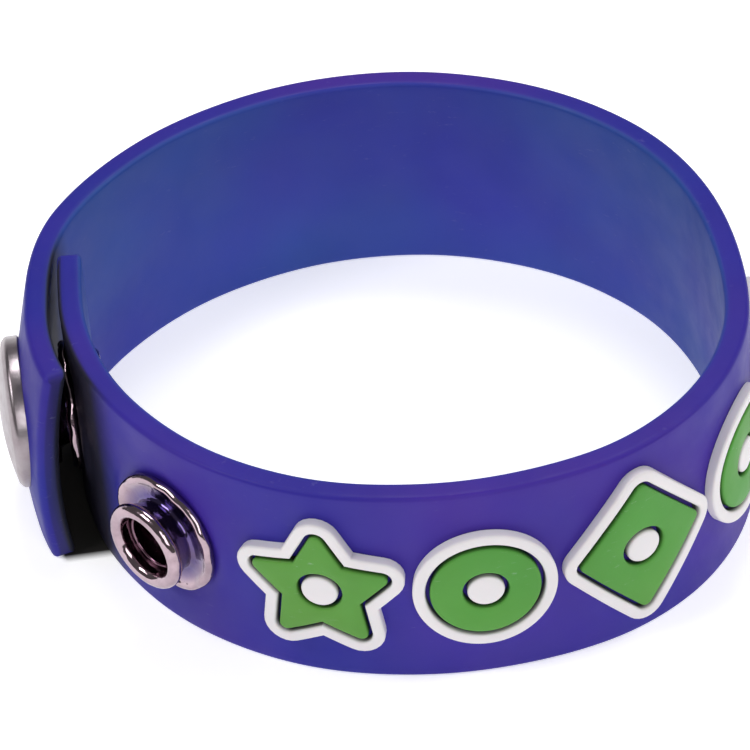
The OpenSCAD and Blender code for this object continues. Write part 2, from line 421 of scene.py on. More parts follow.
def quads_between(rows, columns, wrap_rows, wrap_columns):
    """Vertex numbers of the faces of a grid, closed round in either direction. A vertex's
    number is its row times the count of columns, plus its column."""
    r = np.arange(rows if wrap_rows else rows - 1)
    c = np.arange(columns if wrap_columns else columns - 1)
    r, c = np.meshgrid(r, c, indexing="ij")
    r2, c2 = (r + 1) % rows, (c + 1) % columns
    corners = [r * columns + c, r2 * columns + c, r2 * columns + c2, r * columns + c2]
    return np.stack(corners, axis=-1).reshape(-1, 4)


def signed_volume(points, quads):
    """Six times the volume between the quads and the origin, positive if they face away
    from it: the sum of the triple products of the corners of each quad's two triangles."""
    a, b, c, d = (points[quads[:, k]] for k in range(4))
    return (np.einsum("ij,ij->i", a, np.cross(b, c)).sum()
            + np.einsum("ij,ij->i", a, np.cross(c, d)).sum())


def grid_part(points, wrap_rows=False):
    """A closed part from a grid of points: its columns close into rings, and its first
    and last rings are filled, or joined to each other where the rows wrap too. It is its
    points and arrays of faces, each array for one number of corners."""
    rows, columns = points.shape[:2]
    flat = points.reshape(-1, 3)
    faces = [quads_between(rows, columns, wrap_rows, True)]
    if not wrap_rows:
        first = np.arange(columns)[None]
        faces += [first, first[:, ::-1] + (rows - 1) * columns]
    if signed_volume(flat - flat.mean(axis=0), faces[0]) < 0:
        faces = [corners[:, ::-1] for corners in faces]
    return flat, faces


def new_mesh(name, parts):
    """A mesh from one or more parts, the corners of each counted on from the last part."""
    faces, offset = [], 0
    for part_points, part_faces in parts:
        for corners in part_faces:
            faces += (corners + offset).tolist()
        offset += len(part_points)
    mesh = bpy.data.meshes.new(name)
    mesh.from_pydata(np.concatenate([points for points, _ in parts]).tolist(), [], faces)
    return mesh


def linked(name, data):
    """A new object of the scene, at the origin."""
    thing = bpy.data.objects.new(name, data)
    bpy.context.scene.collection.objects.link(thing)
    return thing


def smooth_but_edges(mesh, sharp):
    """Shades a mesh smooth but for its edges past an angle."""
    mesh.shade_smooth()
    mesh.set_sharp_from_angle(angle=sharp)


def piece_from(name, parts, material, sharp=PIECE_SHARP):
    """One mesh object at the origin from closed parts, smooth but for its sharp edges."""
    mesh = new_mesh(name, parts)
    mesh.validate()
    smooth_but_edges(mesh, sharp)
    mesh.materials.append(material)
    return linked(name, mesh)


def fit_piece(piece, slot, *nodes):
    """Puts a finished piece on the loop's body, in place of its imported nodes."""
    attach(piece, ROOT)
    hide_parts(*nodes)


def spokes(turn):
    """Unit vectors at angles in radians: the cosine, then the sine of each."""
    return np.stack([np.cos(turn), np.sin(turn)], axis=-1)


def arc(centre, radius, start, end, steps):
    """Points of a circular arc between two angles in degrees: its centre plus its radius
    along evenly turned unit vectors."""
    return np.asarray(centre) + radius * spokes(np.radians(np.linspace(start, end, steps)))


def lathe(profile, place, level, ripple=None, wrap=True):
    """A closed part of revolution: the profile's radius and height, lifted by a ripple if
    there is one, turned about the outward direction of a place, at a level from the middle
    of the strap's thickness."""
    turn = np.linspace(0, 2 * math.pi, settings().snap.sides, endpoint=False)
    radius, height = profile[:, 0, None], profile[:, 1, None]
    if ripple is not None:
        height = height + ripple(turn, radius, height)
    out = np.array([*place["out"], 0.0])
    side = np.array([*left_of(place["out"]), 0.0])
    up = np.array([0.0, 0.0, 1.0])
    base = np.array([*place["mid"], STRAP_WIDTH / 2]) + level * out
    points = (base + height[..., None] * out
              + (radius * np.cos(turn))[..., None] * side
              + (radius * np.sin(turn))[..., None] * up)
    return grid_part(points, wrap_rows=wrap)


# Values stored on the meshes for the materials


def store(mesh, name, values):
    """Stores one number per vertex under a name that a material reads."""
    attribute = mesh.attributes.new(name, "FLOAT", "POINT")
    attribute.data.foreach_set("value", np.asarray(values, np.float32))


def vertex_rows(mesh, field):
    """A field of all vertices with three numbers each, such as their place or normal."""
    values = np.zeros(len(mesh.vertices) * 3, np.float32)
    mesh.vertices.foreach_get(field, values)
    return values.reshape(-1, 3)


def mark_painted_neck_reflection(mesh, place, level):
    """Stores where a stud's surface takes the painted violet reflection of the strap, on its
    neck and in the hollow round it: the product of three shares, which are 1 inside the
    flange's raised rim, outside the hole and below the lip."""
    snap = settings().snap
    rim, rim_fade = 0.9 * MM, 0.5 * MM
    lip = snap.lip_radius - snap.hole_radius
    lip_edge, lip_depth, lip_fade = 0.2 * lip, 0.75 * lip, 0.3 * lip
    places = vertex_rows(mesh, "co")
    away = places[:, :2] - place["mid"]
    rise = away @ place["out"] - level
    radius = np.hypot(away @ left_of(place["out"]), places[:, 2] - STRAP_WIDTH / 2)
    within = np.clip((snap.flange_radius - rim - radius) / rim_fade, 0, 1)
    outside = radius > snap.hole_radius + lip_edge
    below = np.clip((snap.stud_height - lip_depth - rise) / lip_fade, 0, 1)
    # Mask of the painted violet reflection of the strap
    store(mesh, "hollow", within * outside * below)


def mark_painted_gap_shade(mesh):
    """Stores the painted shade of the gap between the layers at each vertex, from 0 outside it
    to 1 within. Only faces that lie near the gap's middle plane, a parabola in plan, and look
    at it count. Along the strap the painted shade fades past the flap's end, and about as far
    off on the other side."""
    strap, gain = settings().strap, 2
    places, normals = vertex_rows(mesh, "co"), vertex_rows(mesh, "normal")
    middle, endwards, out = gap_frame()
    away = (places[:, :2] - middle) @ endwards
    depth = (places[:, :2] - middle) @ out + away**2 / (2 * GAP_RADIUS)
    facing = normals[:, :2] @ out
    inwards = np.where(depth > GAP_SPLIT, -facing, facing)
    shade = np.where(away > 0, strap.gap_shade, strap.gap_fade)
    share = (settings().snap.flap_reach + shade - np.abs(away)) / strap.gap_fade
    near = np.clip(inwards * gain, 0, 1) * (np.abs(depth) < GAP_DEPTH)
    store(mesh, "gap", np.clip(share, 0, 1) * near)


def mark_inside(mesh):
    """Stores how far each vertex faces the loop's middle, from 0 outside to 1 inside, for the
    painted light tint of the inside: the product of its normal and the unit vector to the
    middle, times a gain, clamped."""
    gain = 1.6
    inward = BAND_MIDDLE - vertex_rows(mesh, "co")[:, :2]
    inward /= np.linalg.norm(inward, axis=1)[:, None]
    facing = (inward * vertex_rows(mesh, "normal")[:, :2]).sum(axis=1)
    store(mesh, "inside", np.clip(facing * gain, 0, 1))


# Strap


def strap_section(inset):
    """Ring of the strap's section, level and height: a rectangle with quarter-circle
    corners, drawn in by an inset, anticlockwise from the outer face's lower corner."""
    strap = settings().strap
    half, low, high = strap.thickness / 2 - inset, inset, STRAP_WIDTH - inset
    bend = max(strap.edge_round - inset, TIGHT_CORNER)
    long_side = np.linspace(low + bend, high - bend, WIDE_POINTS)[1:-1]
    short_side = np.linspace(half - bend, bend - half, THIN_POINTS)[1:-1]
    outer = np.stack([np.full_like(long_side, half), long_side], axis=1)
    top = np.stack([short_side, np.full_like(short_side, high)], axis=1)
    sides = (outer, top, outer[::-1] * (-1, 1), top[::-1] * (1, 0) + (0, low))
    out, back = half - bend, bend - half
    corners = ((out, high - bend), (back, high - bend), (back, low + bend), (out, low + bend))
    ring = []
    for turn, side, corner in zip((0, 90, 180, 270), sides, corners):
        ring += [side, arc(corner, bend, turn, turn + 90, CORNER_POINTS)]
    return np.concatenate(ring)


def soft_wave(s, height):
    """Unevenness of the moulded faces: a broad wave along the strap times one across it,
    and a finer slanted wave."""
    broad_along, broad_across, fine_along, fine_across = 4.1 * MM, 3.3 * MM, 1.9 * MM, 2.7 * MM
    broad = np.sin(s / broad_along) * np.cos(height / broad_across + 1)
    return broad + FINE_WAVE * np.sin(s / fine_along + height / fine_across)


def strap_grid():
    """Rings of the strap: its section carried along the centre line, drawn in over a
    quarter circle at both ends, waved softly and pressed flat under each metal disc."""
    strap, snap = settings().strap, settings().snap
    steps = round(LOOP_LENGTH / strap.station_step)
    body = np.linspace(strap.end_round, LOOP_LENGTH - strap.end_round, steps)
    quarter = np.radians(np.linspace(0, 90, CORNER_POINTS))[:-1]
    near_end = strap.end_round * (1 - np.cos(quarter))
    near_inset = strap.end_round * (1 - np.sin(quarter))
    stations = np.concatenate([near_end, body, LOOP_LENGTH - near_end[::-1]])
    insets = np.concatenate([near_inset, np.zeros(steps), near_inset[::-1]])
    rings = np.stack([strap_section(inset) for inset in insets])
    level, height = rings[..., 0], rings[..., 1]
    s = np.repeat(stations[:, None], level.shape[1], axis=1)
    face = np.sign(level) * (np.abs(level) > strap.thickness / 4)
    body_share = 1 - insets[:, None] / strap.end_round
    level = level + strap.waviness * soft_wave(s, height) * body_share / (1 + FINE_WAVE)
    level = level + flap_lift(s, height)
    places = snap_places()
    flange = (snap.seat_depth, snap.flange_radius, snap.seat_blend)
    disc = (snap.shallow_seat, snap.disc_radius, snap.seat_blend)
    seats = (
        # place, side, then the seat's depth, radius and blend
        ("flap", 1, snap.shallow_seat, snap.cap_core, snap.cap_blend),
        ("flap", -1, *flange),
        ("inner", 1, *flange),
        ("inner", -1, *disc),
        ("open", 1, *flange),
        ("open", -1, *disc),
    )
    for name, side, *seat in seats:
        level = seated_level(level, s, height, face == side, places[name], side, *seat)
    return strap_point(s, level, height)


def punch(piece, place, radius):
    """Cuts a round hole through one layer of the strap, along a snap's direction."""
    reach = 1.6 * MM
    wall = np.array([[radius, -reach], [radius, reach]])
    cutter = linked("cutter", new_mesh("cutter", [lathe(wall, place, 0.0, wrap=False)]))
    cut = piece.modifiers.new("hole", "BOOLEAN")
    cut.operation = "DIFFERENCE"
    cut.solver = "EXACT"
    cut.object = cutter
    graph = bpy.context.evaluated_depsgraph_get()
    drilled = bpy.data.meshes.new_from_object(piece.evaluated_get(graph))
    piece.modifiers.clear()
    piece.data = drilled
    bpy.data.objects.remove(cutter)


# Motifs


def star_corners(radius, waist):
    """Ten corners of an upright star, 36 degrees apart, in turn on an outer and an inner
    circle."""
    turn = np.radians(36 * np.arange(10))
    reach = radius * np.where(np.arange(10) % 2 == 0, 1, waist)
    return np.stack([reach * np.sin(turn), reach * np.cos(turn)], axis=1)


def lozenge_corners(radius, width):
    """Four corners of an upright lozenge: its radius above and below the middle, and the
    width's share of that to both sides."""
    return np.array([[0, radius], [radius * width, 0], [0, -radius], [-radius * width, 0]])


def grown_outline(corners, rounding, grow, per_edge):
    """Outline at an even distance round a shape with rounded corners, clockwise. The
    corners are drawn in by the rounding, then each convex one becomes an arc of the
    rounding plus the growth, and each hollow one the crossing of its moved edges."""
    before = corners - np.roll(corners, 1, axis=0)
    normal_before = np.stack([-before[:, 1], before[:, 0]], axis=1)
    normal_before /= np.linalg.norm(normal_before, axis=1)[:, None]
    normal_after = np.roll(normal_before, -1, axis=0)
    mitre = (normal_before + normal_after) / (1 + (normal_before * normal_after).sum(1))[:, None]
    middle = corners - rounding * mitre
    reach = rounding + grow
    after = np.roll(corners, -1, axis=0) - corners
    convex = before[:, 0] * after[:, 1] - before[:, 1] * after[:, 0] < 0
    per_arc = 9
    stretches = []
    for k, core in enumerate(middle):
        start = math.degrees(math.atan2(normal_before[k, 1], normal_before[k, 0]))
        end = math.degrees(math.atan2(normal_after[k, 1], normal_after[k, 0]))
        end -= 360 * (end > start)
        turned = arc(core, reach, start, end, per_arc)
        crossing = (core + reach * mitre[k])[None]
        stretches.append(turned if convex[k] else crossing)
    full = []
    for k, stretch in enumerate(stretches):
        following = stretches[(k + 1) % len(stretches)][0]
        share = np.linspace(0, 1, per_edge + 2)[1:-1, None]
        full += [stretch, stretch[-1] + share * (following - stretch[-1])]
    return np.concatenate(full)


def motif_outline(shape, grow):
    """Outline of one of the three motifs, grown evenly by a distance."""
    motif = settings().motif
    if shape == "star":
        corners = star_corners(motif.star_radius, motif.star_waist)
        return grown_outline(corners, motif.corner_round, grow, per_edge=7)
    if shape == "lozenge":
        corners = lozenge_corners(motif.lozenge_radius, motif.lozenge_width)
        return grown_outline(corners, motif.corner_round, grow, per_edge=16)
    return arc((0, 0), motif.ring_radius + grow, start=90, end=-270, steps=97)[:-1]


def eye_outline(outline, radius):
    """Circle with a point in the direction of each point of an outline."""
    return radius * spokes(np.arctan2(outline[:, 1], outline[:, 0]))


def motif_row():
    """Number and shape of each motif, counted from the open stud."""
    return [(index, SHAPES[(index - 1) % len(SHAPES)]) for index in range(1, MOTIF_COUNT + 1)]


def motif_place(index):
    """Distance along the strap of a motif's middle: the row starts a gap past the open
    stud's flange and runs back, one pitch for each motif."""
    snap, motif = settings().snap, settings().motif
    start = LOOP_LENGTH - snap.flap_reach - snap.stud_pitch - snap.flange_radius - motif.row_gap
    return start - (index - 0.5) * motif.pitch


def on_strap(flat, rise, index):
    """Wraps flat points with a rise onto the strap's outer face at one motif: right is
    backwards along the centre line, shortened by the face's greater radius."""
    face = settings().strap.thickness / 2 + CLEARANCE
    middle = motif_place(index)
    radius = LOOP[row_at(middle), RADIUS]
    s = middle - flat[..., 0] * radius / (radius + face)
    return strap_point(s, face + rise, STRAP_WIDTH / 2 + flat[..., 1])


def edge_profile():
    """How a relief's upper edge goes inwards and up over a quarter circle."""
    edge = settings().motif.edge_round
    turn = np.radians(np.linspace(0, 90, 5))
    return edge * (1 - np.cos(turn)), settings().motif.relief - edge * (1 - np.sin(turn))


def relief_part(rings, rises, index, wrap=True, bright=0):
    """A closed part of one motif from flat rings and the rise of each ring, with each
    vertex's share of the full rise, which sets its painted groove shade. The first rings count
    as at the full rise and take no painted shade."""
    flat = np.asarray(rings)
    up = np.array(rises)[:, None] + np.zeros(flat.shape[:2])
    shares = np.clip(up / settings().motif.relief, 0, 1)
    shares[:bright] = 1
    return grid_part(on_strap(flat, up, index), wrap_rows=wrap), shares.ravel()


def motif_part(shape, index):
    """A green motif: rings from its foot up its side, over the rounded edge, across the
    slightly domed top to the eye, and down the eye's wall."""
    motif = settings().motif
    inset, rise = edge_profile()
    side = [motif_outline(shape, -drawn) for drawn in (0.0, *inset)]
    rim, brink = side[-1], motif.eye_radius + motif.edge_round
    eye = eye_outline(rim, brink)
    shares = np.linspace(0, 1, 9)[1:]
    top = [(1 - share) * rim + share * eye for share in shares]
    wall = [eye_outline(rim, brink - drawn) for drawn in motif.edge_round - inset[::-1][1:]]
    dome = motif.relief + MOTIF_DOME * np.sin(math.pi * shares)
    rises = [0.0, *rise, *dome, *rise[::-1][1:], 0.0]
    return relief_part([*side, *top, *wall, eye_outline(rim, motif.eye_radius)], rises, index)


def outline_part(shape, index):
    """A white outline: rings up its outer side, over both rounded edges and down. Its
    outer side takes no painted groove shade."""
    motif = settings().motif
    inset, rise = edge_profile()
    outside, inside = motif.groove + motif.outline_width, motif.groove
    grown = [outside, *(outside - inset), *(inside + inset[::-1]), inside]
    rings = [motif_outline(shape, grow) for grow in grown]
    return relief_part(rings, [0.0, *rise, *rise[::-1], 0.0], index, bright=len(inset) + 1)


def dot_part(index):
    """The white dot in a motif's eye: rings across its foot, up its side, over its rounded
    edge and across its slightly domed top, closed above and below."""
    motif = settings().motif
    inset, rise = edge_profile()
    radius = motif.eye_radius - motif.groove
    foot = radius * np.array([0.2, 0.7, 1])
    top = (radius - motif.edge_round) * np.array([0.7, 0.4, 0.15])
    radii = np.array([*foot, *(radius - inset), *top])
    dome = motif.relief + DOT_DOME * np.array([0.5, 0.9, 1])
    rings = radii[:, None, None] * spokes(np.radians(np.arange(0, 360, 7.5)))
    return relief_part(rings, [0.0, 0.0, 0.0, *rise, *dome], index, wrap=False)


def relief_piece(name, parts, material, slot, node):
    """A raised piece from closed parts, each with its vertices' shares of the full rise, stored for
    the painted groove shade.
    """
    piece = piece_from(name, [part for part, _ in parts], material)
    store(piece.data, "rise", np.concatenate([shares for _, shares in parts]))
    fit_piece(piece, slot, node)


# Metal pieces


def cap_profile():
    """Half section of the cap: a flat dome that meets a rolled rim, hollow below. The
    dome is part of a sphere, whose radius is the sum of the squares of the cap's radius
    and the dome's rise, over twice the rise."""
    snap = settings().snap
    radius, skirt = snap.cap_radius, snap.cap_skirt
    rim, rise, bend, bevel = 0.45 * MM, 1.0 * MM, 0.2 * MM, 0.1 * MM
    hollow, depth = 4.25 * MM, 0.7 * MM
    dome = (radius**2 + rise**2) / (2 * rise)
    r = np.linspace(POLE, radius - rim, 26)
    top = np.stack([r, snap.cap_height - dome + np.sqrt(dome**2 - r**2)], axis=1)
    roll = arc((radius - rim, rim), rim, 60, 0, 9)
    foot = arc((radius - bend, bend - skirt), bend, 0, -90, 6)
    under = np.array([[radius - 2 * rim, -skirt], [radius - 2 * rim, 0], [hollow + bevel, 0],
                      [hollow, bevel], [hollow, depth], [POLE, depth]])
    return np.concatenate([top, roll, foot, under])


def socket_profile():
    """Half section of the socket: a collar between the layers, a flange under the flap and
    a neck up to the cap."""
    snap = settings().snap
    bore, neck = snap.lip_radius + SOCKET_BORE, snap.lip_radius + SOCKET_NECK
    roll, bevel, half_sheet = 0.3 * MM, 0.1 * MM, snap.sheet / 2
    collar, low = bore + snap.collar_width, snap.sheet - snap.collar_height
    neck_top = snap.sheet + settings().strap.thickness - snap.seat_depth - snap.shallow_seat
    foot = arc((collar - roll, low + roll), roll, -90, 0, 7)
    edge = arc((snap.flange_radius - half_sheet, half_sheet), half_sheet, -90, 90, 9)
    return np.concatenate([
        [[bore + bevel, low]], foot, [[collar, 0]], edge,
        [[neck, snap.sheet], [neck, neck_top], [bore, neck_top], [bore, low + bevel]]])


def stud_profile():
    """Half section of a stud: up the hole, over the rolled lip, down the neck, across the
    dished flange and round its raised rim."""
    snap = settings().snap
    wall, foot, rim, slope = 0.42 * MM, 0.45 * MM, 0.45 * MM, 0.75 * MM
    lip = (snap.lip_radius - snap.hole_radius) / 2
    lip_mid = (snap.hole_radius + lip, snap.stud_height - lip)
    neck = snap.hole_radius + wall
    rim_mid = (snap.flange_radius - rim, rim)
    return np.concatenate([
        [[snap.hole_radius, 0]],
        arc(lip_mid, lip, 180, -60, 26),
        arc((neck + foot, snap.sheet + foot), foot, 180, 270, 6),
        [[rim_mid[0] - slope, snap.sheet]],
        arc(rim_mid, rim, 130, -90, 16),
    ])


def stud_ripple(turn, radius, height):
    """Hand-pressed unevenness of a stud's flange, as a lift: three waves round the raised
    rim, which fade towards the neck."""
    snap = settings().snap
    depth, rim_foot = 0.075 * MM, 0.3 * MM
    # Waves round the rim, phase and share of the depth
    waves = ((5, 0.6, 1), (11, 2.1, 0.7), (17, 0, 0.5))
    wave = sum(share * np.sin(count * turn + phase) for count, phase, share in waves)
    share = np.clip((radius - snap.lip_radius) / (snap.flange_radius - snap.lip_radius), 0, 1)
    return depth * wave * share * (height > rim_foot)


def eyelet_profile():
    """Half section of an eyelet: a plain disc below, a tube up through the stud, and the
    tube's end rolled outwards under the lip."""
    snap = settings().snap
    wall, roll, flare = 0.35 * MM, 0.17 * MM, 0.25 * MM
    tube = snap.hole_radius - TUBE_PLAY
    inner = tube - wall
    top = (settings().strap.thickness - snap.seat_depth - snap.shallow_seat + snap.stud_height
           - (snap.lip_radius - snap.hole_radius))
    edge = snap.disc_thickness / 2
    return np.concatenate([
        [[POLE, -2 * edge]],
        arc((snap.disc_radius - edge, -edge), edge, -90, 90, 13),
        [[tube, 0], [tube, top - 2 * roll]],
        arc((tube - roll, top - roll), roll, 0, 180, 8),
        [[inner, flare], [inner - flare, 0], [POLE, 0]],
    ])


def metal_piece(name, part, finish, node):
    """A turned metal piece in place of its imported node."""
    piece = piece_from(name, [part], finish)
    fit_piece(piece, "nickel", node)
    return piece


# Materials


def wire(tree, node, values):
    """Fills a node's inputs, by name or number: a number or tuple becomes the input's own
    value, and another node's output is linked to it."""
    for label, value in values.items():
        if isinstance(value, (int, float, tuple)):
            node.inputs[label].default_value = value
        else:
            tree.links.new(value, node.inputs[label])


def made(tree, kind, output, values, **fields):
    """An output of a new shader node, whose fields are set and whose inputs are filled."""
    node = tree.nodes.new(f"ShaderNode{kind}")
    for field, value in fields.items():
        setattr(node, field, value)
    wire(tree, node, values)
    return node.outputs[output]


def surface_group(name, colours, numbers):
    """A shader node group with named colours and numbers as inputs, and a colour, a
    roughness and a normal as outputs: the group, its input node and its output node."""
    group = bpy.data.node_groups.new(name, "ShaderNodeTree")
    sockets = [
        *(("INPUT", label, "Color") for label in colours),
        *(("INPUT", label, "Float") for label in numbers),
        ("OUTPUT", "Colour", "Color"),
        ("OUTPUT", "Roughness", "Float"),
        ("OUTPUT", "Normal", "Vector"),
    ]
    for side, label, kind in sockets:
        group.interface.new_socket(label, in_out=side, socket_type=f"NodeSocket{kind}")
    return group, group.nodes.new("NodeGroupInput"), group.nodes.new("NodeGroupOutput")


def object_place(tree):
    """The object's own coordinates."""
    return made(tree, "TexCoord", "Object", {})


def stored(tree, name):
    """A value stored on the mesh."""
    return made(tree, "Attribute", "Fac", {}, attribute_name=name)


def stretched(tree, place, scale, rotation):
    """Coordinates scaled along their axes and turned."""
    return made(tree, "Mapping", "Vector", {"Vector": place, "Rotation": rotation, "Scale": scale})


def noise(tree, place, scale, detail=3.0, roughness=0.5, distortion=0.0):
    """A noise texture on coordinates."""
    return made(tree, "TexNoise", "Fac", {
        "Vector": place, "Scale": scale, "Detail": detail, "Roughness": roughness,
        "Distortion": distortion})


def mapped(tree, value, given, wanted=(0, 1)):
    """A value carried from one range to another, clamped."""
    return made(tree, "MapRange", "Result", {
        "Value": value, "From Min": given[0], "From Max": given[1], "To Min": wanted[0],
        "To Max": wanted[1]})


def arithmetic(tree, operation, first, second=0.0):
    """A math node of outputs or numbers."""
    return made(tree, "Math", 0, {0: first, 1: second}, operation=operation)


def mixed(tree, factor, first, second):
    """A mix of two colours, whose places on the mix node are 6 and 7."""
    return made(tree, "Mix", 2, {0: factor, 6: first, 7: second}, data_type="RGBA")


def bumped(tree, height, strength, distance, **earlier):
    """A bump on a height, over an earlier Normal if there is one."""
    values = {"Height": height, "Strength": strength, "Distance": distance, **earlier}
    return made(tree, "Bump", "Normal", values)


def vinyl_group():
    """Moulded soft vinyl: cloudy colour, short pale scuffs, a fine mould grain and faint
    flow lines in the bump, and a gloss that changes with the handling marks."""
    group, given, result = surface_group("moulded_vinyl", ["Colour"], ["Cloud", "Scuffs", "Gloss"])
    place = object_place(group)
    cloud = mapped(group, noise(group, place, 95, detail=4, distortion=0.4), (0.3, 0.7), (-1, 1))
    shade = arithmetic(group, "MULTIPLY", cloud, given.outputs["Cloud"])
    drift = noise(group, place, 40, detail=2)
    tone = made(group, "HueSaturation", "Color", {
        "Hue": mapped(group, drift, (0.3, 0.7), (0.488, 0.512)),
        "Value": arithmetic(group, "ADD", shade, 1.0),
        "Color": given.outputs["Colour"],
    })
    # Scuffs: short pale strokes where a stretched noise peaks
    lengthwise = stretched(group, place, scale=(1, 1, 3.2), rotation=(0, 0, 0))
    stroke = mapped(group, noise(group, lengthwise, 900, detail=5, roughness=0.65), (0.62, 0.75))
    patch = mapped(group, noise(group, place, 160, detail=2), (0.5, 0.65))
    scuff = arithmetic(group, "MULTIPLY", stroke, patch)
    scuff = arithmetic(group, "MULTIPLY", scuff, given.outputs["Scuffs"])
    smear = mapped(group, noise(group, place, 260, detail=3), (0.35, 0.65), (-0.05, 0.07))
    gloss = arithmetic(group, "ADD", given.outputs["Gloss"], smear)
    rubbed = arithmetic(group, "MULTIPLY", scuff, 0.25)
    flow = noise(group, place, 420, detail=2)
    flow = bumped(group, flow, strength=0.35, distance=0.0001)
    grain = noise(group, place, 5200, detail=2)
    wire(group, result, {
        "Colour": mixed(group, scuff, tone, SCUFF_PALE),
        "Roughness": arithmetic(group, "ADD", gloss, rubbed),
        "Normal": bumped(group, grain, strength=0.22, distance=0.00002, Normal=flow),
    })
    return group


def nickel_group():
    """Handled nickel plate: dull film in broad patches, fine scratches that all run one
    way, and a slight orange-peel waviness that breaks up the reflections."""
    group, given, result = surface_group(
        "handled_nickel", ["Bright", "Dull"], ["Film", "Dents", "Haze"])
    place = object_place(group)
    patches = mapped(group, noise(group, place, 480, detail=4, roughness=0.6), (0.42, 0.68))
    film = arithmetic(group, "MULTIPLY", patches, given.outputs["Film"])
    brushed = stretched(group, place, scale=(1, 14, 1), rotation=(0.5, 0.3, 0.9))
    scratch = mapped(group, noise(group, brushed, 900, detail=4, roughness=0.7), (0.6, 0.72))
    dull = arithmetic(group, "ADD", mapped(group, film, (0, 1), (0.09, 0.3)),
                      arithmetic(group, "MULTIPLY", scratch, 0.12))
    dents = noise(group, place, 620, detail=2)
    dents = arithmetic(group, "MULTIPLY", dents, given.outputs["Dents"])
    dents = bumped(group, dents, strength=1.0, distance=0.00035)
    wire(group, result, {
        "Colour": mixed(group, film, given.outputs["Bright"], given.outputs["Dull"]),
        "Roughness": arithmetic(group, "ADD", dull, given.outputs["Haze"]),
        "Normal": bumped(group, scratch, strength=0.15, distance=0.00001, Normal=dents),
    })
    return group


def new_material(name):
    """A material with nodes, its tree and its Principled shader."""
    material = bpy.data.materials.new(name)
    material.use_nodes = True
    tree = material.node_tree
    return material, tree, tree.nodes["Principled BSDF"]


def group_material(name, group, values, shader_values):
    """A material whose Principled shader is fed by one placed group, the node surface."""
    material, tree, shader = new_material(name)
    surface = tree.nodes.new("ShaderNodeGroup")
    surface.name = "surface"
    surface.node_tree = group
    wire(tree, surface, values)
    wire(tree, shader, {
        "Base Color": surface.outputs["Colour"],
        "Roughness": surface.outputs["Roughness"],
        "Normal": surface.outputs["Normal"],
        **shader_values,
    })
    return material


def vinyl(name, base, cloud, scuffs, gloss):
    """A vinyl material of one colour."""
    group = bpy.data.node_groups.get("moulded_vinyl") or vinyl_group()
    values = {"Colour": (*base, 1), "Cloud": cloud, "Scuffs": scuffs, "Gloss": gloss}
    shader_values = {"IOR": 1.5, "Specular IOR Level": 0.24,
                     "Subsurface Weight": 0.06, "Subsurface Scale": 0.0012}
    return group_material(name, group, values, shader_values)


def strap_vinyl():
    """The strap's vinyl: its colour passes from the outside's to the painted light tint of the
    inside, and takes painted shade in the gap between the layers, by two values stored on the
    strap."""
    colours = settings().colours
    material = vinyl("strap_vinyl", colours.strap_outside, cloud=0.06, scuffs=0.10, gloss=0.5)
    tree = material.node_tree
    # Painted light: the colour passes to the inside's bluer tint as faces turn to the loop's middle
    blend = mixed(tree, stored(tree, "inside"), (*colours.strap_outside, 1),
                  (*colours.strap_inside_painted_light, 1))
    # Painted shade between the layers, where the flap keeps the light off
    shade = arithmetic(tree, "MULTIPLY", stored(tree, "gap"), GAP_STRENGTH)
    wire(tree, tree.nodes["surface"], {"Colour": mixed(tree, shade, blend, GAP_PAINTED_SHADE)})
    return material


def relief_vinyl(name, base, cloud, scuffs):
    """A relief's vinyl: painted shade darkens its sides towards the foot of the groove they stand
    in.
    """
    material = vinyl(name, base, cloud, scuffs, gloss=0.42)
    tree = material.node_tree
    # Painted shade at the foot of each side, where the groove keeps the light off
    shade = mapped(tree, stored(tree, "rise"), (0.35, 0.95), (GROOVE_STRENGTH, 0))
    wire(tree, tree.nodes["surface"], {"Colour": mixed(tree, shade, (*base, 1), GROOVE_PAINTED_SHADE)})
    return material


def nickel(name, bright, film, dents, haze=0.0):
    """A nickel material with its own colour and its own share of film, dents and haze."""
    group = bpy.data.node_groups.get("handled_nickel") or nickel_group()
    values = {"Bright": (*bright, 1), "Dull": (*settings().colours.tarnish, 1),
              "Film": film, "Dents": dents, "Haze": haze}
    return group_material(name, group, values, {"Metallic": 1.0, "IOR": 1.5})


def stud_nickel():
    """The studs' nickel, with a painted violet reflection of the strap on the neck and in the
    hollow round it.
    """
    colours = settings().colours
    material = nickel("stud_nickel", colours.nickel, film=0.4, dents=0.3)
    tree = material.node_tree
    shade = arithmetic(tree, "MULTIPLY", stored(tree, "hollow"), NECK_REFLECTION_STRENGTH)
    cast = mixed(tree, shade, (*colours.nickel, 1), (*colours.neck_painted_reflection, 1))
    wire(tree, tree.nodes["surface"], {"Bright": cast})
    return material


# Stage


def aim_along(thing, location, direction, roll=0):
    """Puts a lamp or camera at a place, looking along a direction, turned about it."""
    thing.location = location
    thing.rotation_mode = "QUATERNION"
    thing.rotation_quaternion = (
        Vector(direction).to_track_quat("-Z", "Y") @ Quaternion((0, 0, 1), roll))


